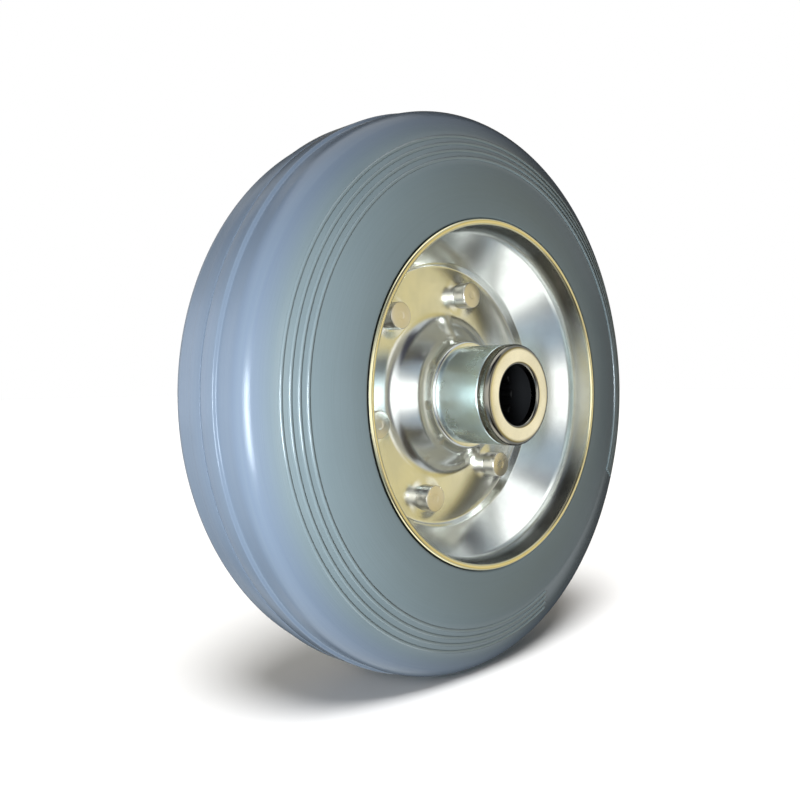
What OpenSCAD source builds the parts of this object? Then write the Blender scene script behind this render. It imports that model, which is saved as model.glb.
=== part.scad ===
// Castor wheel: a solid rubber tyre on a pressed-steel rim, which turns on a roller bearing.
// The rim is two dished steel pressings, riveted back to back, that grip the hub tube in their collars.
// Origin at the wheel's centre, +Y along the axle, +Z up. The front faces -Y. Millimetres.

/* [Tyre] */
// Diameter over the raised rib in the middle of the tread
tyre_d = 200; // [190:1:230]
// Width over the two sidewalls, where they bulge most
tyre_w = 56; // [54:0.5:57]
// Width of the raised rib
rib_w = 12.8; // [6:0.2:20]
// Height of the rib above the bands on each side of it
rib_h = 1.2; // [0.4:0.1:3]
// Distance over which each flank of the rib slopes down to its band
rib_flank = 0.7; // [0:0.1:1.5]
// Width of the mould's parting groove round the middle of the rib
parting_w = 0.6; // [0.3:0.1:1]
// Depth of that groove
parting_h = 0.3; // [0.1:0.1:0.5]
// Width of the flat tread between the two rounded shoulders
flat_tread_w = 26; // [22:0.5:32]
// Radius of the shoulders
shoulder_r = 7.3; // [5:0.1:9]
// Diameter inside the tyre, in the well between the two rim halves
tyre_bore_d = 103; // [102:0.5:108]
// Radius of the sidewall's edge against the rim
toe_r = 1.4; // [0.6:0.1:2]

/* [Sidewall ridges] */
// Number of fine ridges round each sidewall
ridge_n = 4; // [1:1:5]
// Distance from the tread in to the outermost ridge
ridge_inset = 11.6; // [10.5:0.1:13]
// Distance from one ridge to the next
ridge_pitch = 2.5; // [2:0.1:3.2]
// Radius of a ridge's round back
ridge_r = 0.6; // [0.4:0.05:0.8]
// Angle at which the plain band without ridges begins
plain_from = 292; // [200:1:300]
// Angle that the plain band covers
plain_sweep = 44; // [20:1:60]

/* [Rim] */
// Diameter over the edge of the pressings
rim_d = 121; // [119:0.5:123]
// Width over the edges of the two pressings
rim_w = 57.4; // [57:0.1:60]
// Thickness of the sheet
sheet_t = 2.2; // [1.8:0.1:2.4]
// Diameter of the flat disc inside the step
disc_d = 96.6; // [95:0.2:98]
// Height of the step round the disc
step_h = 3.6; // [3:0.1:4.2]
// Radius of the two bends in the step, at mid-sheet
step_r = 1.8; // [1.4:0.1:2]
// Slope of the dish between the step and its wall
dish_slope = 55; // [50:1:60]
// Radius of the bend from the dish into its wall, at mid-sheet
dish_r = 8; // [4:0.5:12]
// Outward lean of the wall at the rim's edge
wall_lean = 0; // [0:0.5:4]
// Radius that breaks the two corners of the sheet's cut edge
edge_r = 0.4; // [0.2:0.05:0.7]
// Diameter of the horn's foot, where the disc turns up towards the hub tube, at mid-sheet
horn_d = 54.6; // [52:0.2:56]
// Slope of the horn
horn_slope = 47; // [42:1:52]
// Radius of the bend at the horn's foot, at mid-sheet
horn_foot_r = 2.5; // [1.6:0.1:3.5]
// Radius of the bend from the horn into the collar, at mid-sheet
throat_r = 6; // [4:0.5:8]
// Height of the collar's cut edge above the middle of the wheel
collar_h = 15.8; // [15:0.1:20]

/* [Rivets] */
// Number of rivets
rivet_n = 6; // [4:1:8]
// Diameter of the circle that they stand on
rivet_circle_d = 76.8; // [75.6:0.2:77.2]
// Angle of the first rivet
rivet_from = 14; // [0:1:45]
// Diameter of a rivet's shank
rivet_shank_d = 5; // [4:0.1:6]
// Diameter of a rivet's head
rivet_head_d = 9.5; // [8.5:0.1:10]
// Height of a rivet's head above its seat
rivet_head_h = 4.2; // [3:0.1:5]
// Height of the seat that is pressed up round each rivet
seat_h = 1.4; // [0.8:0.1:1.8]
// Diameter of the flat on top of that seat
seat_d = 10.2; // [9.8:0.1:11]
// Distance over which the seat falls away to the disc
seat_flare = 3; // [2:0.1:3.2]

/* [Hub] */
// Length of the hub over its two end rings
hub_l = 75; // [68:0.5:84]
// Outer diameter of the hub tube
tube_d = 34.6; // [34:0.1:36]
// Diameter of the axle
axle_d = 20; // [18:0.1:20.4]
// Play between the axle and an end ring, on the radius
axle_play = 0.25; // [0.1:0.05:0.5]
// Thickness of an end ring outside the tube
ring_t = 4.5; // [3.5:0.1:6]
// Length of an end ring's spigot inside the tube
spigot_l = 1.5; // [1:0.1:4]
// Length of the land in an end ring's hole that guides the axle
land_l = 1.8; // [1:0.1:2.6]
// Radius of an end ring's outer edge
ring_edge_r = 1.8; // [0.6:0.1:2.2]
// Radius of the lip round an end ring's hole
lip_r = 1.2; // [0.5:0.1:1.5]

/* [Roller bearing] */
// Number of rollers
roller_n = 12; // [8:1:13]
// Diameter of a roller
roller_d = 4; // [3.6:0.1:4.2]
// Length of a roller
roller_l = 52; // [40:0.5:52]
// Thickness of the roller cage
cage_t = 2.6; // [2:0.1:2.8]
// Thickness of the cage's two necks, which reach into the end rings
neck_t = 1.6; // [1:0.1:1.8]

/* [Fits] */
// Gap between parts that are pressed or bonded together
seat_gap = 0.02; // [0.01:0.01:0.05]
// Gap between a roller and what it rolls on, and round a rivet's shank
run_gap = 0.03; // [0.02:0.01:0.06]
// Gap between a roller and its pocket in the cage, and round the cage's necks
pocket_gap = 0.1; // [0.06:0.01:0.1]
// End play of the cage between the two end rings, at each end
end_play = 0.3; // [0.1:0.05:1]

/* [Hidden] */
$fn = 96;
// How far the chords in the pressed and moulded sections may stray from their arcs
arc_error = 0.01;

// Hub and bearing, from the axle outwards
bore_r = axle_d / 2 + axle_play;
roller_r = roller_d / 2;
roller_circle_r = axle_d / 2 + run_gap + roller_r;
tube_bore_r = roller_circle_r + roller_r + run_gap;
tube_r = tube_d / 2;
tube_l = hub_l - 2 * ring_t;
spigot_r = tube_bore_r - seat_gap;
cage_bore_r = roller_circle_r - cage_t / 2;
cage_r = roller_circle_r + cage_t / 2;
cage_l = tube_l - 2 * spigot_l - 2 * end_play;
neck_r = cage_bore_r + neck_t;
land_from = ring_t - lip_r - land_l;
neck_l = land_from + spigot_l;
edge_break = 0.3;

// Rim: the middle of the sheet as a chain of corners, each [radius from the axle, height from mid-wheel]
collar_r = tube_r + seat_gap + sheet_t / 2;
step_foot = [disc_d / 2, sheet_t / 2];
step_angle = 76;
step_top = step_foot + [step_h / tan(step_angle), step_h];
edge_half = sheet_t / 2 - edge_r;
rim_edge = [
    rim_d / 2 - edge_r - edge_half * cos(wall_lean) + edge_r * sin(wall_lean),
    rim_w / 2 - edge_r - edge_half * sin(wall_lean) + edge_r * cos(wall_lean)
];
wall_foot = crossing(step_top, dish_slope, rim_edge, 90 - wall_lean);
horn_foot = [horn_d / 2, sheet_t / 2];
throat = crossing(horn_foot, 180 - horn_slope, [collar_r, 0], 90);
SHEET = [
    [collar_r, collar_h],
    throat,
    horn_foot,
    step_foot,
    step_top,
    wall_foot,
    rim_edge,
];
SHEET_BENDS = [0, throat_r, horn_foot_r, step_r, step_r, dish_r, 0];

// Rivets
rivet_circle_r = rivet_circle_d / 2;
rivet_hole_r = rivet_shank_d / 2 + run_gap;
seat_top = sheet_t + seat_h;
RIVET_ANGLES = [for (i = [0:rivet_n - 1]) rivet_from + i * 360 / rivet_n];

// Tyre: the shoulder's arc runs on into the sidewall's, which is upright at the bulge
tyre_r = tyre_d / 2;
band_r = tyre_r - rib_h;
bulge = [rim_d / 2 + 2.5, tyre_w / 2];
shoulder = [band_r - shoulder_r, flat_tread_w / 2];
side_r = blend_radius(shoulder, shoulder_r, bulge);
side = bulge - [0, side_r];
side_dir = (shoulder - side) / norm(shoulder - side);
toe = [rim_d / 2 + 0.8 * toe_r, bulge.y - toe_r];

function roller_name(i) = str("roller_", i < 10 ? "0" : "", i);
function on_circle(r, a) = [r * cos(a), r * sin(a)];

// Where the line through p at angle a crosses the line through q at angle b
function crossing(p, a, q, b) =
    p + on_circle(1, a) * ((q.x - p.x) * sin(b) - (q.y - p.y) * cos(b)) / sin(b - a);

// Radius of the arc that is upright at point b and runs smoothly into the circle of radius r round c
function blend_radius(c, r, b) =
    let (d = c - b)
    (r * r - d * d) / (2 * (d.y + r));

// Turn of a chain of points at its corner i, and how far the bend there reaches along the chain
function turn(p, i) =
    let (a = p[i] - p[i - 1], b = p[i + 1] - p[i])
    atan2(a.x * b.y - a.y * b.x, a * b);
function reach(p, bends, i) =
    i == 0 || i == len(p) - 1 ? 0 : bends[i] * tan(abs(turn(p, i)) / 2);
function heading(p, i) = (p[i + 1] - p[i]) / norm(p[i + 1] - p[i]);

// Number of chords that keep within arc_error of an arc
function arc_steps(r, sweep) = ceil(abs(sweep) / (2 * acos(1 - arc_error / r)));

// Points along the arc round c that starts at angle a, in n chords
function arc(c, r, a, sweep, n) = [for (k = [0:n]) c + on_circle(r, a + sweep * k / n)];

// Points along the bend at corner i of a sheet, at a distance off to the left of mid-sheet
function bend_points(p, bends, i, off) =
    let (
        u = heading(p, i - 1),
        way = sign(turn(p, i)),
        inward = [-u.y, u.x] * way,
        centre = p[i] - u * reach(p, bends, i) + inward * bends[i],
        n = arc_steps(bends[i] + sheet_t / 2, turn(p, i))
    )
    arc(centre, bends[i] - way * off, atan2(-inward.y, -inward.x), turn(p, i), n);

// Points along the whole sheet at a distance off to the left of mid-sheet, all but the last
function sheet_line(p, bends, off) =
    let (u = heading(p, 0))
    concat([p[0] + [-u.y, u.x] * off], [for (i = [1:len(p) - 2]) each bend_points(p, bends, i, off)]);

// Points round the sheet's far edge from its left side, at a distance gap outside it
function edge_points(p, gap) =
    let (
        last = len(p) - 1,
        u = heading(p, last - 1),
        left = [-u.y, u.x],
        a = atan2(u.y, u.x),
        n = arc_steps(edge_r + gap, 90)
    )
    concat(
        arc(p[last] - u * edge_r + left * edge_half, edge_r + gap, a + 90, -90, n),
        arc(p[last] - u * edge_r - left * edge_half, edge_r + gap, a, -90, n)
    );

function reversed(v) = [for (i = [len(v) - 1:-1:0]) v[i]];

// Quarter of a disc, in the first quadrant
module quarter_disc(r) {
    intersection() {
        circle(r);
        square(r);
    }
}

// Section of the sheet
module sheet_section() {
    polygon(concat(
        sheet_line(SHEET, SHEET_BENDS, sheet_t / 2),
        edge_points(SHEET, 0),
        reversed(sheet_line(SHEET, SHEET_BENDS, -sheet_t / 2))
    ));
}

// All that lies in front of the sheet's back face, with a fitting gap round the sheet
module sheet_room_section() {
    room = sheet_t / 2 + seat_gap;
    polygon(concat(
        sheet_line(SHEET, SHEET_BENDS, -room),
        reversed(edge_points(SHEET, seat_gap)),
        [[rim_edge.x, rim_w], [collar_r, rim_w]]
    ));
}

// Front half of the tyre's section, down to the sheet
module tyre_half_section() {
    side_from = atan2(side_dir.y, side_dir.x);
    side_sweep = 90 - side_from;
    polygon(concat(
        [
            [toe.x - toe_r, 0],
            [tyre_r - parting_h, 0],
            [tyre_r - parting_h, parting_w / 2],
            [tyre_r, parting_w / 2],
            [tyre_r, rib_w / 2],
            [band_r, rib_w / 2 + rib_flank],
        ],
        arc(shoulder, shoulder_r, 0, side_from, arc_steps(shoulder_r, side_from)),
        arc(side, side_r, side_from, side_sweep, arc_steps(side_r, side_sweep)),
        arc(toe, toe_r, 90, 90, arc_steps(toe_r, 90))
    ));
}

module tyre_section() {
    difference() {
        union() {
            for (m = [0, 1])
                mirror([0, m]) tyre_half_section();
            translate([tyre_bore_d / 2, -bulge.y / 2])
                square([bulge.x - tyre_bore_d / 2, bulge.y]);
        }
        for (m = [0, 1])
            mirror([0, m]) sheet_room_section();
    }
}

// Turns a shape that stands on the XY plane so that it stands on mid-wheel and faces the front
module facing_front() {
    rotate([90, 0, 0]) children();
}

// The same, facing the back
module facing_back() {
    mirror([0, 1, 0]) facing_front() children();
}

module at_rivets() {
    for (a = RIVET_ANGLES)
        rotate([0, 0, a]) translate([rivet_circle_r, 0, 0]) children();
}

// Solid of revolution with its ends bevelled by b, standing on the XY plane
module bevelled_cylinder(r, h, b) {
    rotate_extrude()
        polygon([[0, 0], [r - b, 0], [r, b], [r, h - b], [r - b, h], [0, h]]);
}

// Height of the sidewall above mid-wheel at a distance r from the axle
function side_height(r) = side.y + sqrt(side_r * side_r - (r - side.x) * (r - side.x));

module tyre() {
    color("slategray") {
        facing_front() rotate_extrude() tyre_section();
        for (m = [0, 1])
            mirror([0, m, 0]) facing_front()
                for (i = [0:ridge_n - 1]) {
                    r = tyre_r - ridge_inset - i * ridge_pitch;
                    rotate([0, 0, plain_from + plain_sweep])
                        rotate_extrude(angle = 360 - plain_sweep)
                            translate([r, side_height(r)]) circle(ridge_r);
                }
    }
}

// One pressing of the rim, its disc on mid-wheel
module rim_half() {
    difference() {
        union() {
            rotate_extrude() sheet_section();
            at_rivets()
                translate([0, 0, sheet_t / 2])
                    cylinder(h = seat_h + sheet_t / 2, r1 = seat_d / 2 + seat_flare, r2 = seat_d / 2);
        }
        at_rivets() {
            translate([0, 0, -1]) cylinder(h = seat_top + 2, r = rivet_hole_r);
            translate([0, 0, -sheet_t / 2])
                cylinder(
                    h = seat_h + sheet_t / 2,
                    r1 = seat_d / 2 + seat_flare - sheet_t / 2,
                    r2 = seat_d / 2 - sheet_t / 2
                );
        }
    }
}

module rim_front() {
    color("lightsteelblue") facing_front() rim_half();
}

module rim_back() {
    color("lightsteelblue") facing_back() rim_half();
}

// Rivet through both pressings: a flat head in front, and an upset head with a rounded edge behind
module rivet() {
    head_r = rivet_head_d / 2;
    upset_r = rivet_head_h / 3;
    translate([0, 0, seat_top]) difference() {
        bevelled_cylinder(head_r, rivet_head_h, edge_break);
        translate([0, 0, rivet_head_h - edge_break])
            cylinder(h = 2 * edge_break, r1 = edge_break, r2 = 3 * edge_break);
    }
    translate([0, 0, -seat_top]) cylinder(h = 2 * seat_top, r = rivet_shank_d / 2);
    mirror([0, 0, 1]) translate([0, 0, seat_top]) rotate_extrude() {
        square([head_r, rivet_head_h - upset_r]);
        square([head_r - upset_r, rivet_head_h]);
        translate([head_r - upset_r, rivet_head_h - upset_r]) quarter_disc(upset_r);
    }
}

module rim_rivets() {
    color("darkkhaki") facing_front() at_rivets() rivet();
}

module hub_tube() {
    color("silver") facing_front() translate([0, 0, -tube_l / 2]) difference() {
        bevelled_cylinder(tube_r, tube_l, edge_break);
        translate([0, 0, -1]) cylinder(h = tube_l + 2, r = tube_bore_r);
    }
}

// Turned ring on the end of the hub: a rounded outer edge, a lip and a land round its hole,
// and a recess behind the land that takes the neck of the cage
module end_ring_section() {
    recess_r = neck_r + pocket_gap;
    difference() {
        union() {
            translate([bore_r + lip_r, 0]) square([tube_r - bore_r - lip_r, ring_t - lip_r]);
            translate([bore_r + lip_r, 0]) square([tube_r - ring_edge_r - bore_r - lip_r, ring_t]);
            translate([bore_r, land_from]) square([lip_r + 1, land_l]);
            translate([bore_r + lip_r, ring_t - lip_r]) rotate(90) quarter_disc(lip_r);
            translate([recess_r, -spigot_l]) square([spigot_r - recess_r, spigot_l + 1]);
        }
        translate([tube_r - ring_edge_r, ring_t - ring_edge_r]) difference() {
            square(2 * ring_edge_r);
            circle(ring_edge_r);
        }
        translate([0, -spigot_l - 1]) square([recess_r, land_from + spigot_l + 1]);
        translate([spigot_r, -spigot_l]) rotate([0, 0, 45])
            square(2 * edge_break, center = true);
    }
}

module end_ring() {
    translate([0, 0, tube_l / 2]) rotate_extrude() end_ring_section();
}

module end_ring_front() {
    color("palegoldenrod") facing_front() end_ring();
}

module end_ring_back() {
    color("palegoldenrod") facing_back() end_ring();
}

module at_rollers() {
    for (i = [1:roller_n])
        at_roller(i) children();
}

module at_roller(i) {
    rotate([0, 0, (i - 1) * 360 / roller_n]) translate([roller_circle_r, 0, 0]) children();
}

// Moulded cage: a barrel with one open pocket for each roller, and a neck on each end
module roller_cage() {
    pocket_l = roller_l + 2 * pocket_gap;
    full_l = cage_l + 2 * neck_l;
    color("dimgray") facing_front() difference() {
        union() {
            translate([0, 0, -cage_l / 2]) cylinder(h = cage_l, r = cage_r);
            translate([0, 0, -full_l / 2]) cylinder(h = full_l, r = neck_r);
        }
        translate([0, 0, -full_l / 2 - 1]) cylinder(h = full_l + 2, r = cage_bore_r);
        at_rollers()
            translate([0, 0, -pocket_l / 2]) cylinder(h = pocket_l, r = roller_r + pocket_gap);
    }
}

module roller(i) {
    color("gainsboro") facing_front() at_roller(i)
        translate([0, 0, -roller_l / 2]) bevelled_cylinder(roller_r, roller_l, edge_break);
}

tyre();
rim_front();
rim_back();
rim_rivets();
hub_tube();
end_ring_front();
end_ring_back();
roller_cage();
for (i = [1:roller_n])
    roller(i);
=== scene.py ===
"""A castor wheel: a grey rubber tyre on a rim of bright pressed steel, with a roller cage in its hub.

The wheel stands on its tread. Its axle lies along Y, and its front faces -Y. Lengths are in metres.
"""

import math

import bmesh
import bpy
from mathutils import Matrix, Vector

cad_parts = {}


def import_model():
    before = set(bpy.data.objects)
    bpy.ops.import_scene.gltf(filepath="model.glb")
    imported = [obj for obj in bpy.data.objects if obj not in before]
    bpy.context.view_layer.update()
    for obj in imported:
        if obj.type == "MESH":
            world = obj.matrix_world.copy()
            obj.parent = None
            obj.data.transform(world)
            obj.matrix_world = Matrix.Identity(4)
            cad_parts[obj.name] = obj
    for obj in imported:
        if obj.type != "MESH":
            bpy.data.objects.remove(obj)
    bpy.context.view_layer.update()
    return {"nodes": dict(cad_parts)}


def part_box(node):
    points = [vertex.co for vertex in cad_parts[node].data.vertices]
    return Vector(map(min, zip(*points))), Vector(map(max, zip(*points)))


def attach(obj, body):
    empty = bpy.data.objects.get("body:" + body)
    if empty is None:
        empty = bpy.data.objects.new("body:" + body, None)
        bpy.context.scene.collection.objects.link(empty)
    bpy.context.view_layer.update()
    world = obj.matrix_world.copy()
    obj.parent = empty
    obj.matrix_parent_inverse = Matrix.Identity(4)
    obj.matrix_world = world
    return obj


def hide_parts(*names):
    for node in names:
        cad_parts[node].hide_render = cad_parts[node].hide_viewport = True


MM = 0.001
FRONT, BACK = -1, 1

# Sizes of the pieces, with angles and slopes in degrees

# Tyre
RIB_HALF = 6.4 * MM
RIB_HEIGHT = 1.2 * MM
RIB_FLANK = 0.45 * MM
RIB_EDGE = 0.6 * MM
PARTING_HALF = 0.3 * MM
PARTING_DEPTH = 0.5 * MM
PARTING_FLOOR_RADIUS = 0.05 * MM
SHOULDER_RADIUS = 7.3 * MM
SHOULDER_HEIGHT = 13 * MM
BULGE_OVER_RIM = 2.5 * MM
TOE_RADIUS = 1 * MM
WELL_RADIUS = 51.5 * MM
RIDGES = 4
RIDGE_INSET = 11.6 * MM
RIDGE_PITCH = 2.5 * MM
RIDGE_RADIUS = 0.6 * MM
PLAIN_FROM = 292
PLAIN_SWEEP = 44

# Rim
SHEET = 2.2 * MM
COLLAR_HEIGHT = 15.8 * MM
THROAT_RADIUS = 9 * MM
HORN_RADIUS = 27.3 * MM
HORN_SLOPE = 47
HORN_FOOT_RADIUS = 9 * MM
COLLAR_BREAK = 1.5 * MM
DISC_RADIUS = 48.3 * MM
STEP_HEIGHT = 3.6 * MM
STEP_ANGLE = 76
STEP_RADIUS = 1.8 * MM
DISH_SLOPE = 55
DISH_RADIUS = 8 * MM
WALL_ANGLE = 90
EDGE_BREAK = 1 * MM
FIT = 0.02 * MM

# Rivets
RIVETS = 6
RIVET_CIRCLE = 38.4 * MM
RIVET_FROM = 14
RIVET_SHANK = 2.5 * MM
RIVET_HEAD = 4.75 * MM
RIVET_HEIGHT = 5.1 * MM
RIVET_EDGE = 0.35 * MM
DIMPLE_RADIUS = 1.1 * MM
DIMPLE_BRIM = 1.6 * MM
DIMPLE_DEPTH = 0.06 * MM
DIMPLE_EDGE = 0.2 * MM
SEAT_HEIGHT = 0.5 * MM
SEAT_RADIUS = 4.4 * MM
SEAT_FLARE = 3.6 * MM

# Hub
RING_THICKNESS = 4.5 * MM
RING_EDGE = 1.8 * MM
RING_BACK_EDGE = 0.2 * MM
LIP_RADIUS = 1.2 * MM
LAND_LENGTH = 1.8 * MM
SPIGOT_LENGTH = 1.5 * MM
RECESS_RADIUS = 12.43 * MM
BORE_RADIUS = 10.25 * MM
TUBE_BORE = 14.06 * MM
CHAMFER = 0.3 * MM

# Radius of an edge that only looks sharp
FINE_EDGE = 0.1 * MM

# Fineness of the meshes
TURN_STEPS = 240
ARC_ERROR = 0.0045 * MM
DISC_CUTS = 28
TOUCH = 1e-7
SMOOTH_ANGLE = 35

# Camera
CAMERA_AZIMUTH = -44.37
CAMERA_ELEVATION = 1.32
CAMERA_ROLL = -0.77
CAMERA_DISTANCE = 0.300
CAMERA_SIDEWAYS = -14.4 * MM
CAMERA_UPWARDS = -1.8 * MM
FOCAL_PIXELS = 806.8
IMAGE_PIXELS = 800
SENSOR_WIDTH = 36

# Soft light on the rubber: a colour from each side, and the height of the way up or down where it fades in
AMBIENT_ABOVE = (0.30, 0.27, 0.22, 1)
AMBIENT_BELOW = (0.40, 0.42, 0.38, 1)
AMBIENT_ROUND = (0.01, 0.01, 0.01, 1)
ABOVE_FADE = (0.45, 0.75)
BELOW_FADE = (0.2, 0.6)

# Floor
FLOOR_SIZE = 12
FLOOR_GLOW = 0.04
FLOOR_SHADE = 0.12


# Lines and arcs in a section: x is the distance from the axle, y the height above mid-wheel


def polar(radius, angle):
    return Vector((radius * math.cos(math.radians(angle)), radius * math.sin(math.radians(angle))))


def arc(centre, radius, start, sweep):
    """Points along an arc, with both of its ends. Angles are in degrees."""
    chord = 2 * math.degrees(math.acos(1 - ARC_ERROR / radius))
    steps = max(3, math.ceil(abs(sweep) / chord))
    return [centre + polar(radius, start + sweep * k / steps) for k in range(steps + 1)]


def rounded(corners):
    """Points along a line of corners, each (point, arc's radius), with the corners turned into arcs."""
    points = [corners[0][0]]
    for (before, _), (here, radius), (after, _) in zip(corners, corners[1:], corners[2:]):
        arriving = (here - before).normalized()
        leaving = (after - here).normalized()
        if radius == 0:
            points.append(here)
            continue
        sideways = arriving.x * leaving.y - arriving.y * leaving.x
        turn = math.degrees(math.atan2(sideways, arriving.dot(leaving)))
        reach = radius * math.tan(math.radians(abs(turn) / 2))
        to_centre = Vector((-arriving.y, arriving.x)) * math.copysign(1, turn)
        centre = here - arriving * reach + to_centre * radius
        points += arc(centre, radius, math.degrees(math.atan2(-to_centre.y, -to_centre.x)), turn)
    points.append(corners[-1][0])
    return points


def parallel(corners, off):
    """The same line of corners shifted off to its left, with its roundings tightened or eased to match."""
    ways = [(b[0] - a[0]).normalized() for a, b in zip(corners, corners[1:])]
    lefts = [Vector((-way.y, way.x)) for way in ways]
    shifted = [(corners[0][0] + lefts[0] * off, 0)]
    for (point, radius), way, left, after in zip(corners[1:-1], ways, lefts, lefts[1:]):
        turn_sign = -math.copysign(1, way.dot(after))
        shifted.append((point + (left + after) * off / (1 + left.dot(after)), radius - turn_sign * off))
    shifted.append((corners[-1][0] + lefts[-1] * off, 0))
    return shifted


def crossing(p, a, q, b):
    """Where the line through p at angle a crosses the line through q at angle b."""
    along = (q.x - p.x) * math.sin(math.radians(b)) - (q.y - p.y) * math.cos(math.radians(b))
    return p + polar(1, a) * (along / math.sin(math.radians(b - a)))


# Modelling


def deselect():
    for obj in bpy.context.selected_objects:
        obj.select_set(False)


def in_space(point, side, angle=0):
    """Where a point of a section lies on the front or back of the wheel, at an angle round the axle."""
    across = polar(point.x, angle)
    return Vector((across.x, side * point.y, across.y))


def pick(test):
    """In edit mode, selects the vertices that pass a test of their place."""
    mesh = bmesh.from_edit_mesh(bpy.context.edit_object.data)
    bpy.ops.mesh.select_all(action="DESELECT")
    for vertex in mesh.verts:
        vertex.select_set(bool(test(vertex.co)))
    mesh.select_flush(True)
    bmesh.update_edit_mesh(bpy.context.edit_object.data)


def draw(name, points, side=FRONT, angle=0):
    """Starts a piece as a closed outline, and stays in edit mode."""
    deselect()
    places = [in_space(point, side, angle) for point in points]
    bpy.ops.mesh.primitive_plane_add(size=MM, location=(0, 0, 0))
    piece = bpy.context.object
    piece.name = name
    piece.data.name = name
    bpy.ops.object.mode_set(mode="EDIT")
    bpy.ops.mesh.select_mode(type="VERT")
    bpy.ops.mesh.merge(type="CENTER")
    bpy.ops.transform.translate(value=places[0])
    for here, after in zip(places, places[1:]):
        bpy.ops.mesh.extrude_vertices_move(TRANSFORM_OT_translate={"value": after - here})
    pick(lambda co: min((co - places[0]).length, (co - places[-1]).length) < TOUCH)
    bpy.ops.mesh.edge_face_add()
    return piece


def spin(piece, sweep=360):
    """Turns a closed outline round the axle, and leaves the piece in edit mode with its faces outwards."""
    bpy.ops.object.mode_set(mode="OBJECT")
    turn = piece.modifiers.new("turn", "SCREW")
    turn.axis = "Y"
    turn.angle = -math.radians(sweep)
    turn.steps = turn.render_steps = math.ceil(TURN_STEPS * sweep / 360)
    turn.use_merge_vertices = True
    turn.merge_threshold = TOUCH
    bpy.ops.object.modifier_apply(modifier="turn")
    bpy.ops.object.mode_set(mode="EDIT")
    bpy.ops.mesh.select_all(action="SELECT")
    bpy.ops.mesh.remove_doubles(threshold=TOUCH)
    bpy.ops.mesh.fill_holes(sides=0)
    bpy.ops.mesh.normals_make_consistent(inside=False)


def complete(piece):
    """Leaves edit mode, shades the piece smooth except at sharp edges, and lets it ride on the wheel."""
    if bpy.context.mode != "OBJECT":
        bpy.ops.object.mode_set(mode="OBJECT")
    deselect()
    piece.select_set(True)
    bpy.context.view_layer.objects.active = piece
    bpy.ops.object.shade_smooth_by_angle(angle=math.radians(SMOOTH_ANGLE))
    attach(piece, "wheel")
    return piece


def join(pieces):
    deselect()
    for piece in pieces:
        piece.select_set(True)
    bpy.context.view_layer.objects.active = pieces[0]
    bpy.ops.object.join()
    return pieces[0]


# The sections. Their outer sizes come from the frame.


def sheet_corners(rim_radius, rim_half_width, tube_radius):
    """The middle of the rim's sheet, from the collar's cut edge to the cut edge of the dish."""
    disc = SHEET / 2
    collar = Vector((tube_radius + FIT + SHEET / 2, COLLAR_HEIGHT))
    horn = Vector((HORN_RADIUS, disc))
    foot = Vector((DISC_RADIUS, disc))
    top = foot + polar(STEP_HEIGHT / math.sin(math.radians(STEP_ANGLE)), STEP_ANGLE)
    middle = Vector((rim_radius - EDGE_BREAK, rim_half_width - EDGE_BREAK))
    way = polar(1, WALL_ANGLE)
    flat = SHEET / 2 - EDGE_BREAK
    edge = middle + way * EDGE_BREAK - Vector((way.y, way.x)) * flat
    wall = crossing(top, DISH_SLOPE, edge, WALL_ANGLE)
    return [
        (collar, 0),
        (crossing(horn, 180 - HORN_SLOPE, collar, 90), THROAT_RADIUS),
        (horn, HORN_FOOT_RADIUS),
        (foot, STEP_RADIUS),
        (top, STEP_RADIUS),
        (wall, DISH_RADIUS),
        (edge, 0),
    ]


def rim_outline(sheet):
    """The sheet's closed outline, with the collar's corner broken and the cut edge of the dish rounded."""
    front = parallel(sheet, SHEET / 2)
    back = parallel(sheet, -SHEET / 2)
    collar = [back[0], (front[0][0], COLLAR_BREAK)]
    cuts = [(point, EDGE_BREAK) for point, _ in (front[-1], back[-1])]
    return rounded(collar + front[1:-1] + cuts + back[-2::-1])[:-1]


def side_arc(tyre_radius, tyre_half_width, rim_radius):
    """Centres and radii of the shoulder's arc and of the sidewall's, which runs on smoothly from it."""
    shoulder = Vector((tyre_radius - RIB_HEIGHT - SHOULDER_RADIUS, SHOULDER_HEIGHT))
    bulge = Vector((rim_radius + BULGE_OVER_RIM, tyre_half_width))
    gap = shoulder - bulge
    radius = (SHOULDER_RADIUS**2 - gap.length_squared) / (2 * (gap.y + SHOULDER_RADIUS))
    return shoulder, bulge, bulge - Vector((0, radius)), radius


def tyre_outline(tyre_radius, tyre_half_width, rim_radius, sheet):
    """The tyre's closed outline. Its inside lies on the backs of the two pressings."""
    shoulder, bulge, side, side_radius = side_arc(tyre_radius, tyre_half_width, rim_radius)
    band = tyre_radius - RIB_HEIGHT
    turn = math.degrees(math.atan2(shoulder.y - side.y, shoulder.x - side.x))
    tread = rounded([
        (Vector((tyre_radius - PARTING_DEPTH, 0)), 0),
        (Vector((tyre_radius - PARTING_DEPTH, PARTING_HALF)), PARTING_FLOOR_RADIUS),
        (Vector((tyre_radius, PARTING_HALF)), FINE_EDGE),
        (Vector((tyre_radius, RIB_HALF)), RIB_EDGE),
        (Vector((band, RIB_HALF + RIB_FLANK)), RIB_EDGE),
        (Vector((band, SHOULDER_HEIGHT)), 0),
    ])
    flank = arc(shoulder, SHOULDER_RADIUS, 0, turn) + arc(side, side_radius, turn, 90 - turn)[1:]
    seat = parallel(sheet, -SHEET / 2 - FIT)[4:][::-1]
    toe = crossing(bulge, 0, seat[0][0], WALL_ANGLE)
    well = crossing(Vector((WELL_RADIUS, 0)), 90, seat[-1][0], DISH_SLOPE)
    inside = rounded([(bulge, 0), (toe, TOE_RADIUS)] + seat[1:-1] + [(well, 0)])
    half = tread[:-1] + flank + inside[1:]
    return half + [Vector((point.x, -point.y)) for point in half[:0:-1]]


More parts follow.
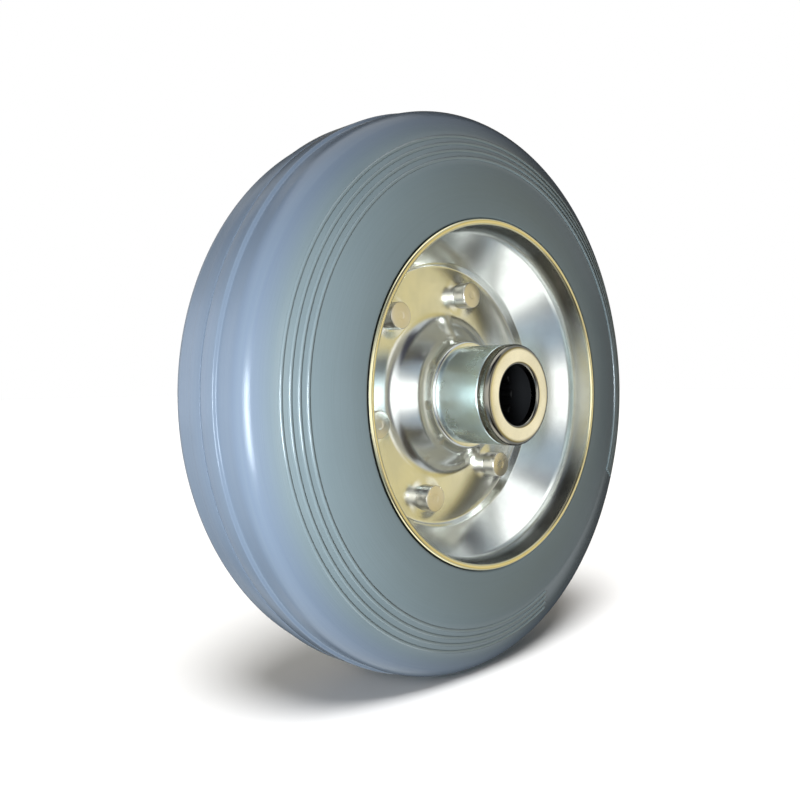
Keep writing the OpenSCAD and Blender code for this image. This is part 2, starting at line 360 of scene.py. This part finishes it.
def ridge_outline(tyre_radius, tyre_half_width, rim_radius, number):
    _, _, side, side_radius = side_arc(tyre_radius, tyre_half_width, rim_radius)
    x = tyre_radius - RIDGE_INSET - number * RIDGE_PITCH
    middle = Vector((x, side.y + math.sqrt(side_radius**2 - (x - side.x) ** 2)))
    return arc(middle, RIDGE_RADIUS, 0, 360)[:-1]


# The pieces


def make_tyre(sheet, rim_radius):
    _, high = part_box("tyre")
    radius, half_width = high.x, high.y
    tyre = draw("grey_tyre", tyre_outline(radius, half_width, rim_radius, sheet))
    spin(tyre)
    bpy.ops.object.mode_set(mode="OBJECT")
    ridges = []
    for side in (FRONT, BACK):
        for number in range(RIDGES):
            outline = ridge_outline(radius, half_width, rim_radius, number)
            ridge = draw("ridge", outline, side, PLAIN_FROM + PLAIN_SWEEP)
            spin(ridge, 360 - PLAIN_SWEEP)
            bpy.ops.object.mode_set(mode="OBJECT")
            ridges.append(ridge)
    return complete(join([tyre] + ridges))


def rivet_angles():
    return [RIVET_FROM + number * 360 / RIVETS for number in range(RIVETS)]


def make_rim_half(name, sheet, side):
    rim = draw(name, rim_outline(sheet), side)
    pick(lambda co: HORN_RADIUS + MM < co.x < DISC_RADIUS - MM and abs(co.y) < SHEET + TOUCH)
    bpy.ops.mesh.subdivide(number_cuts=DISC_CUTS)
    spin(rim)
    bpy.ops.object.mode_set(mode="OBJECT")
    for angle in rivet_angles():
        press_seat(rim, in_space(Vector((RIVET_CIRCLE, SHEET / 2)), side, angle), side)
    return complete(rim)


def press_seat(rim, centre, side):
    """Presses a flat-topped seat up out of the sheet round a rivet, with a smooth flare down to the disc."""
    hook = bpy.data.objects.new("hook", None)
    bpy.context.scene.collection.objects.link(hook)
    hook.location = centre + Vector((0, side * SEAT_HEIGHT, 0))
    bpy.context.view_layer.update()
    everywhere = rim.vertex_groups.new(name="sheet")
    everywhere.add(range(len(rim.data.vertices)), 1.0, "REPLACE")
    seat = rim.modifiers.new("seat", "HOOK")
    seat.object = hook
    seat.center = centre
    seat.matrix_inverse = Matrix.Translation(-centre)
    seat.vertex_group = everywhere.name
    seat.falloff_radius = SEAT_RADIUS + SEAT_FLARE
    seat.falloff_type = "CURVE"
    curve = seat.falloff_curve.curves[0]
    flare = SEAT_FLARE / seat.falloff_radius
    curve.points[0].location = (0, 0)
    curve.points[1].location = (1, 1)
    curve.points.new(flare / 2, 0.5)
    curve.points.new(flare, 1)
    seat.falloff_curve.update()
    bpy.context.view_layer.objects.active = rim
    bpy.ops.object.modifier_apply(modifier="seat")
    rim.vertex_groups.clear()
    bpy.data.objects.remove(hook)


def rivet_outline():
    """A rivet from the dimple in its plain front head to its rounded back head."""
    seat = SHEET + SEAT_HEIGHT
    top = seat + RIVET_HEIGHT
    dimple = top - DIMPLE_DEPTH
    return rounded([
        (Vector((0, dimple)), 0),
        (Vector((DIMPLE_RADIUS, dimple)), DIMPLE_EDGE),
        (Vector((DIMPLE_BRIM, top)), DIMPLE_EDGE),
        (Vector((RIVET_HEAD, top)), RIVET_EDGE),
        (Vector((RIVET_HEAD, seat)), FINE_EDGE),
        (Vector((RIVET_SHANK, seat)), 0),
        (Vector((RIVET_SHANK, -seat)), 0),
        (Vector((RIVET_HEAD, -seat)), FINE_EDGE),
        (Vector((RIVET_HEAD, -top)), RIVET_HEIGHT / 3),
        (Vector((0, -top)), 0),
    ])


def make_rivets():
    rivets = []
    for angle in rivet_angles():
        rivet = draw("rivet", rivet_outline())
        spin(rivet)
        bpy.ops.mesh.select_all(action="SELECT")
        bpy.ops.transform.translate(value=in_space(Vector((RIVET_CIRCLE, 0)), FRONT, angle))
        bpy.ops.object.mode_set(mode="OBJECT")
        rivets.append(rivet)
    piece = join(rivets)
    piece.name = "rivets"
    return complete(piece)


def make_tube():
    _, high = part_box("hub_tube")
    radius, half_length = high.x, high.y
    outline = rounded([
        (Vector((TUBE_BORE, 0)), 0),
        (Vector((TUBE_BORE, half_length)), 0),
        (Vector((radius - CHAMFER, half_length)), FINE_EDGE),
        (Vector((radius, half_length - CHAMFER)), FINE_EDGE),
        (Vector((radius, 0)), 0),
    ])
    outline += [Vector((point.x, -point.y)) for point in outline[-2:0:-1]]
    tube = draw("tube", outline)
    spin(tube)
    return complete(tube)


def make_end_ring(name, side):
    _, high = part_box("end_ring_back")
    radius, face = high.x, high.y
    inner = face - RING_THICKNESS
    land = face - LIP_RADIUS - LAND_LENGTH
    spigot = TUBE_BORE - FIT
    corners = [
        (Vector((RECESS_RADIUS, land)), 0),
        (Vector((BORE_RADIUS, land)), FINE_EDGE),
        (Vector((BORE_RADIUS, face)), LIP_RADIUS),
        (Vector((radius, face)), RING_EDGE),
        (Vector((radius, inner)), RING_BACK_EDGE),
        (Vector((spigot, inner)), 0),
        (Vector((spigot, inner - SPIGOT_LENGTH)), CHAMFER),
        (Vector((RECESS_RADIUS, inner - SPIGOT_LENGTH)), 0),
    ]
    ring = draw(name, rounded(corners), side)
    spin(ring)
    return complete(ring)


# Materials. Distances on the surface are in mm.

SHINE_PAST_RIDGES = 1.75
# Colours of painted light on the zinc: a gold reflection on the rim's cut edge, and dark brown shade in the dish
# wall and round the rings
PAINTED_GOLD_REFLECTION = (0.78, 0.71, 0.46, 1)
PAINTED_SHADE_BROWN = (0.08, 0.07, 0.05, 1)


class Value:
    """A shader socket that Python's operators work on."""

    def __init__(self, shader, socket):
        self.shader = shader
        self.socket = socket

    def maths(self, operation, *others):
        return self.shader.node("ShaderNodeMath", {"operation": operation}, [self, *others])

    def __add__(self, other):
        return self.maths("ADD", other)

    __radd__ = __add__

    def __sub__(self, other):
        return self.maths("SUBTRACT", other)

    def __rsub__(self, other):
        return self.shader.node("ShaderNodeMath", {"operation": "SUBTRACT"}, [other, self])

    def __mul__(self, other):
        return self.maths("MULTIPLY", other)

    __rmul__ = __mul__

    def __truediv__(self, other):
        return self.maths("DIVIDE", other)

    def __pow__(self, other):
        return self.maths("POWER", other)

    def __abs__(self):
        return self.maths("ABSOLUTE")

    def between(self, low, high):
        """0 below low, 1 above high, and smooth from one to the other."""
        settings = {"interpolation_type": "SMOOTHSTEP"}
        inputs = {"Value": self, "From Min": low, "From Max": high}
        return self.shader.node("ShaderNodeMapRange", settings, inputs)

    def near(self, middle, reach, soft):
        """1 within reach of the middle, and 0 past a soft edge."""
        return 1 - abs(self - middle).between(reach - soft / 2, reach + soft / 2)


class Shader:
    """A tree of shader nodes."""

    def __init__(self, tree):
        self.tree = tree

    def node(self, kind, settings, inputs, output=0):
        node = self.tree.nodes.new(kind)
        for name, value in settings.items():
            setattr(node, name, value)
        pairs = inputs.items() if isinstance(inputs, dict) else enumerate(inputs)
        for key, value in pairs:
            self.feed(node.inputs[key], value)
        return Value(self, node.outputs[output])

    def feed(self, socket, value):
        if isinstance(value, Value):
            self.tree.links.new(value.socket, socket)
        else:
            socket.default_value = value

    def ray(self, kind):
        """1 for a ray of that kind, such as Camera or Glossy, and 0 for any other."""
        return self.node("ShaderNodeLightPath", {}, {}, f"Is {kind} Ray")

    def split(self, vector):
        return [self.node("ShaderNodeSeparateXYZ", {}, [vector], axis) for axis in range(3)]

    def join(self, x, y, z):
        return self.node("ShaderNodeCombineXYZ", {}, [x, y, z])

    def mix(self, share, one, other):
        """A colour that goes from one to the other as share goes from 0 to 1."""
        return self.node("ShaderNodeMix", {"data_type": "RGBA"}, {0: share, 6: one, 7: other}, 2)


class Finish(Shader):
    """A material: its principled surface, and what varies over it."""

    def __init__(self, name):
        self.material = bpy.data.materials.new(name)
        self.material.use_nodes = True
        super().__init__(self.material.node_tree)
        self.surface = self.tree.nodes["Principled BSDF"]
        self.place = self.node("ShaderNodeTexCoord", {}, {}, "Object")

    def set(self, **sockets):
        for name, value in sockets.items():
            self.feed(self.surface.inputs[name.replace("_", " ")], value)

    def noise(self, scale, detail=3, roughness=0.5, place=None):
        inputs = {"Vector": place or self.place, "Scale": scale, "Detail": detail, "Roughness": roughness}
        return self.node("ShaderNodeTexNoise", {}, inputs)

    def bump(self, height, distance, under=None):
        inputs = {"Height": height, "Distance": distance}
        if under:
            inputs["Normal"] = under
        return self.node("ShaderNodeBump", {}, inputs)

    def round_axle(self):
        """Distance from the axle and height along it, in mm, and the place on a unit circle round it."""
        x, y, z = self.split(self.place)
        radius = (x * x + z * z) ** 0.5
        return radius * 1000, y * 1000, x / radius, z / radius

    def streaks(self, radius, along, cos, sin, fineness, length):
        """Noise drawn out round the axle: fineness in lines per mm, length in turns to a streak."""
        place = self.join(radius * fineness, along * fineness, 0)
        turned = self.join(cos / length, sin / length, 0)
        place = self.node("ShaderNodeVectorMath", {"operation": "ADD"}, [place, turned])
        return self.noise(1, 2, 0.6, place)


def srgb(red, green, blue):
    """A colour as it looks on screen, in 0 to 255, as the shader takes it."""
    def linear(c):
        c /= 255
        return c / 12.92 if c <= 0.04045 else ((c + 0.055) / 1.055) ** 2.4
    return (linear(red), linear(green), linear(blue), 1)


def rubber(tyre_radius):
    """Grey rubber, with the lavender light on the tread painted in as a bluer tint, and a waxy shine over the
    ridges.
    """
    finish = Finish("grey_rubber")
    radius, along, cos, sin = finish.round_axle()
    cloud = finish.noise(22, 4, 0.6)
    drawn = finish.streaks(radius, along, cos, sin, 1.2, 0.6)
    tread = radius.between(88, 96)
    reach = (RIDGES - 1) / 2 * RIDGE_PITCH
    middle = tyre_radius - RIDGE_INSET - reach
    ridged = radius.near(middle / MM, reach / MM + SHINE_PAST_RIDGES, 2)
    colour = finish.mix(cloud, srgb(108, 118, 119), srgb(119, 129, 130))
    # Painted light: the lavender light that falls on the tread, as a bluer tint
    colour = finish.mix(tread * 0.85, colour, srgb(103, 113, 131))
    colour = finish.mix(drawn * 0.35, colour, srgb(126, 136, 140))
    grain = finish.noise(2600, 2, 0.6)
    flow = finish.streaks(radius, along, cos, sin, 3, 0.35)
    finish.set(
        Base_Color=colour,
        Roughness=0.19 + 0.08 * finish.noise(160, 3),
        Specular_IOR_Level=0.25,
        Coat_Weight=ridged * 0.6,
        Coat_Roughness=0.13,
        Normal=finish.bump(grain, 0.01 * MM, finish.bump(flow, 0.04 * MM)),
    )
    return finish.material


def zinc(name, tint, roughness, painted_shade=None, painted_gold=None):
    """Bright zinc plate, with cloudy patches and the faint rings that pressing or turning leaves.

    The two masks say how much painted shade, in dark brown, and how much painted gold reflection lie at a place;
    they take its radius and height in mm, and the cosine of its angle, which is 1 on the right of the wheel and
    -1 on the left.
    """
    finish = Finish(name)
    radius, along, cos, sin = finish.round_axle()
    patch = finish.noise(70, 4, 0.6)
    rings = finish.streaks(radius, along, cos, sin, 2.5, 0.5)
    dull = (*(channel * 0.86 for channel in tint[:3]), 1)
    colour = finish.mix(patch.between(0.3, 0.75), tint, dull)
    # Painted light laid into the colour: a gold reflection, then dark brown shade
    if painted_gold:
        colour = finish.mix(painted_gold(radius, abs(along), cos), colour, PAINTED_GOLD_REFLECTION)
    if painted_shade:
        colour = finish.mix(painted_shade(radius, abs(along), cos), colour, PAINTED_SHADE_BROWN)
    finish.set(
        Base_Color=colour,
        Metallic=1.0,
        Roughness=roughness + 0.1 * (patch - 0.5),
        Normal=finish.bump(rings, 0.001 * MM),
    )
    return finish.material


def shade_in_rim_wall(radius, height, cos):
    """Painted shade on the wall of the dish below its edge, and not at the far right."""
    wall = height.between(20, 24) * (1 - (height - cos * 0.4).between(27.9, 28.4))
    return wall * (1 - cos.between(0.8, 0.99)) * 0.85


def reflection_on_edge(radius, height, cos):
    """Painted reflection: a gold band on the cut edge of the dish, for the warm light it mirrors."""
    return height.between(27.6, 28.2)


def shade_on_ring(radius, height, cos):
    """Painted shade round the ring's outer edge and inside its lip."""
    outer_edge = radius.between(14.9, 16.2)
    lip = 1 - radius.between(11.1, 11.5)
    return (outer_edge + lip) * 0.8


def plastic():
    finish = Finish("black_cage")
    finish.set(Base_Color=srgb(12, 12, 13), Roughness=0.7 + 0.1 * finish.noise(300), Specular_IOR_Level=0.2)
    return finish.material


def dress(obj, material):
    obj.data.materials.clear()
    obj.data.materials.append(material)


# Light and floor. Bearings and elevations are in degrees, a bearing to the right of straight in front of the
# wheel as seen from above.


def toward(bearing, elevation):
    across = polar(math.cos(math.radians(elevation)), bearing - 90)
    return Vector((across.x, across.y, math.sin(math.radians(elevation))))


def hang(data, bearing, elevation, distance=0):
    """Hangs a lamp at a distance from the wheel's centre, which it faces."""
    light = bpy.data.objects.new(data.name, data)
    bpy.context.scene.collection.objects.link(light)
    way = toward(bearing, elevation)
    light.location = way * distance
    light.rotation_euler = way.to_track_quat("Z", "Y").to_euler()
    return light


def window(name, bearing, elevation, distance, size, power, colour):
    data = bpy.data.lights.new(name, "AREA")
    data.shape = "RECTANGLE"
    data.size, data.size_y = size
    data.energy = power
    data.color = colour
    return hang(data, bearing, elevation, distance)


def sky(name, bearing, elevation, spread, strength):
    """A broad far light: a sun as wide as an overcast patch of sky, so that its shadows are soft."""
    data = bpy.data.lights.new(name, "SUN")
    data.angle = math.radians(spread)
    data.energy = strength
    return hang(data, bearing, elevation)


def restrict(light, state, pieces):
    """Gives a light's rays to the pieces alone with INCLUDE, or to all but them with EXCLUDE.

    Every piece still casts its shadow in them.
    """
    group = bpy.data.collections.new(light.name + "_pieces")
    for piece in pieces:
        group.objects.link(piece)
    light.light_linking.receiver_collection = group
    for member in group.collection_objects:
        member.light_linking.link_state = state


SKIES = (
    # name, bearing, elevation, spread, strength
    ("overhead", -40, 63, 28, 3.8),
    ("low_left", -68, 24, 20, 1.25),
)

WINDOWS = (
    # name, bearing, elevation, distance, width and height, power, colour
    ("left_window", -60, -5, 0.34, (0.08, 0.14), 1.6, (0.91, 1.02, 1.12)),
    ("back_left_window", -150, 8, 1.0, (0.5, 0.5), 0.7, (0.65, 0.76, 1.0)),
    ("back_right_window", 130, 2, 0.4, (0.15, 0.15), 1.3, (0.95, 1.0, 1.05)),
)


def make_lights(mirrors, floor):
    """The skies throw the wheel's shadow on the floor. The windows light what is neither floor nor mirror."""
    for values in SKIES:
        restrict(sky(*values), "INCLUDE", [floor])
    for values in WINDOWS:
        restrict(window(*values), "EXCLUDE", mirrors + [floor])


# What the metal mirrors: a pale studio, with soft cards in it
STUDIO = (0.66, 0.70, 0.73, 1)
CARDS = (
    # bearing, elevation, half width, half height, soft edge, colour
    (125, 0, 38, 70, 16, (0.08, 0.09, 0.10)),
    (134, 0, 16, 24, 12, (0.34, 0.30, 0.18)),
    (-150, 45, 28, 15, 10, (0.06, 0.06, 0.08)),
    (-150, -44, 28, 14, 10, (0.08, 0.07, 0.06)),
    (-128, 0, 42, 18, 14, (1.15, 1.22, 1.26)),
    (0, 90, 400, 30, 12, (1.58, 1.62, 1.62)),
    (0, -90, 400, 31, 12, (1.53, 1.57, 1.54)),
    (-8, 45, 33, 15, 10, (0.05, 0.05, 0.07)),
    (-6, -44, 35, 14, 10, (0.07, 0.06, 0.05)),
    (-60, 40, 20, 12, 16, (0.40, 0.49, 0.58)),
    (-64, -40, 20, 12, 16, (0.37, 0.47, 0.58)),
    (-57, 0, 50, 20, 14, (1.32, 1.38, 1.40)),
    (-35, 0, 28, 16, 10, (1.66, 1.68, 1.66)),
    (10, 0, 14, 32, 10, (0.42, 0.40, 0.32)),
    (0, 0, 6, 20, 5, (0.14, 0.14, 0.15)),
    (46, 0, 18, 30, 12, (0.70, 0.59, 0.26)),
    (30, 0, 6, 14, 6, (1.3, 1.28, 1.2)),
    (54, 0, 5, 14, 6, (1.02, 0.96, 0.74)),
    (74, 0, 12, 10, 10, (0.30, 0.31, 0.32)),
)


def make_world():
    """White behind the wheel, the studio for what mirrors it, and the soft light for the rubber."""
    world = bpy.data.worlds.new("studio")
    bpy.context.scene.world = world
    world.use_nodes = True
    shader = Shader(world.node_tree)
    x, y, z = shader.split(shader.node("ShaderNodeTexCoord", {}, {}, "Generated"))
    bearing = x.maths("ARCTAN2", y * -1) * math.degrees(1)
    elevation = z.maths("ARCSINE") * math.degrees(1)
    studio = STUDIO
    for across, up, half_width, half_height, soft, colour in CARDS:
        card = bearing.near(across, half_width, soft) * elevation.near(up, half_height, soft)
        studio = shader.mix(card, studio, (*colour, 1))
    ambient = shader.mix(z.between(*ABOVE_FADE), AMBIENT_ROUND, AMBIENT_ABOVE)
    ambient = shader.mix((z * -1).between(*BELOW_FADE), ambient, AMBIENT_BELOW)
    light = shader.mix(shader.ray("Glossy"), ambient, studio)
    seen = shader.ray("Camera") + shader.ray("Transmission")
    background = world.node_tree.nodes["Background"]
    shader.feed(background.inputs["Color"], shader.mix(seen, light, (1, 1, 1, 1)))


def make_floor(ground):
    """A matt floor, white where it lies open to the sky, that neither lights the wheel nor shows in it; its
    faint glow dims near the wheel by ambient occlusion, a painted contact shadow.
    """
    deselect()
    bpy.ops.mesh.primitive_plane_add(size=FLOOR_SIZE, location=(0, 0, ground))
    floor = bpy.context.object
    floor.name = "floor"
    finish = Finish("floor")
    seen = finish.ray("Camera") + finish.ray("Transmission") + finish.ray("Glossy")
    # Ambient occlusion dims the floor's glow near the wheel: a painted contact shadow
    painted_shadow_ao = finish.node("ShaderNodeAmbientOcclusion", {"samples": 8}, {"Distance": FLOOR_SHADE}, "AO")
    finish.set(
        Base_Color=(0.8, 0.8, 0.8, 1),
        Roughness=0.9,
        Specular_IOR_Level=0.0,
        Emission_Color=(1, 1, 1, 1),
        Emission_Strength=seen * painted_shadow_ao * FLOOR_GLOW,
    )
    floor.visible_glossy = False
    floor.visible_diffuse = False
    dress(floor, finish.material)
    return floor


def make_camera():
    azimuth, elevation, roll = (math.radians(a) for a in (CAMERA_AZIMUTH, CAMERA_ELEVATION, CAMERA_ROLL))
    back = Vector((
        math.sin(azimuth) * math.cos(elevation),
        -math.cos(azimuth) * math.cos(elevation),
        math.sin(elevation),
    ))
    right = Vector((math.cos(azimuth), math.sin(azimuth), 0))
    up = back.cross(right)
    place = back * CAMERA_DISTANCE + right * CAMERA_SIDEWAYS + up * CAMERA_UPWARDS
    turned_right = right * math.cos(roll) + up * math.sin(roll)
    turned_up = up * math.cos(roll) - right * math.sin(roll)
    data = bpy.data.cameras.new("camera")
    data.sensor_width = SENSOR_WIDTH
    data.lens = FOCAL_PIXELS / IMAGE_PIXELS * SENSOR_WIDTH
    data.clip_start = 0.01
    camera = bpy.data.objects.new("camera", data)
    bpy.context.scene.collection.objects.link(camera)
    axes = Matrix((turned_right, turned_up, back)).transposed()
    camera.matrix_world = Matrix.Translation(place) @ axes.to_4x4()
    bpy.context.scene.camera = camera


def main():
    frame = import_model()
    _, tyre_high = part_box("tyre")
    _, rim_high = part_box("rim_back")
    _, tube_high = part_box("hub_tube")
    sheet = sheet_corners(rim_high.x, rim_high.y, tube_high.x)

    tyre = make_tyre(sheet, rim_high.x)
    rim_front = make_rim_half("front_pressing", sheet, FRONT)
    rim_back = make_rim_half("back_pressing", sheet, BACK)
    rivets = make_rivets()
    tube = make_tube()
    ring_front = make_end_ring("front_ring", FRONT)
    ring_back = make_end_ring("back_ring", BACK)
    for piece, node, slot in (
        (tyre, "tyre", "tyre_rubber"),
        (rim_front, "rim_front", "rim_steel"),
        (rim_back, "rim_back", "rim_steel"),
        (rivets, "rim_rivets", "rivet_steel"),
        (tube, "hub_tube", "tube_steel"),
        (ring_front, "end_ring_front", "ring_steel"),
        (ring_back, "end_ring_back", "ring_steel"),
    ):
        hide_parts(node)

    dress(tyre, rubber(tyre_high.x))
    # The rim's dish wall gets painted shade, and its cut edge a painted gold reflection
    rim_finish = zinc("rim_zinc", (0.83, 0.85, 0.83, 1), 0.2, painted_shade=shade_in_rim_wall, painted_gold=reflection_on_edge)
    for piece in (rim_front, rim_back):
        dress(piece, rim_finish)
    dress(rivets, zinc("rivet_zinc", (0.76, 0.72, 0.63, 1), 0.28))
    dress(tube, zinc("tube_zinc", (0.78, 0.90, 0.91, 1), 0.28))
    # The rings get painted shade round their outer edge and inside their lip
    ring_finish = zinc("ring_zinc", (0.92, 0.89, 0.80, 1), 0.14, painted_shade=shade_on_ring)
    for piece in (ring_front, ring_back):
        dress(piece, ring_finish)
    cage = frame["nodes"]["roller_cage"]
    dress(cage, plastic())
    # The rollers' near-black steel is painted shade, keeping the inside of the bore dark
    roller_finish = zinc("roller_steel", (0.03, 0.03, 0.03, 1), 0.6)
    for name, node in frame["nodes"].items():
        if name.startswith("roller_") and node is not cage:
            dress(node, roller_finish)

    floor = make_floor(-tyre_high.x)
    make_lights([rim_front, rim_back, ring_front, ring_back], floor)
    make_world()
    make_camera()
    bpy.context.scene.view_settings.view_transform = "Standard"


main()
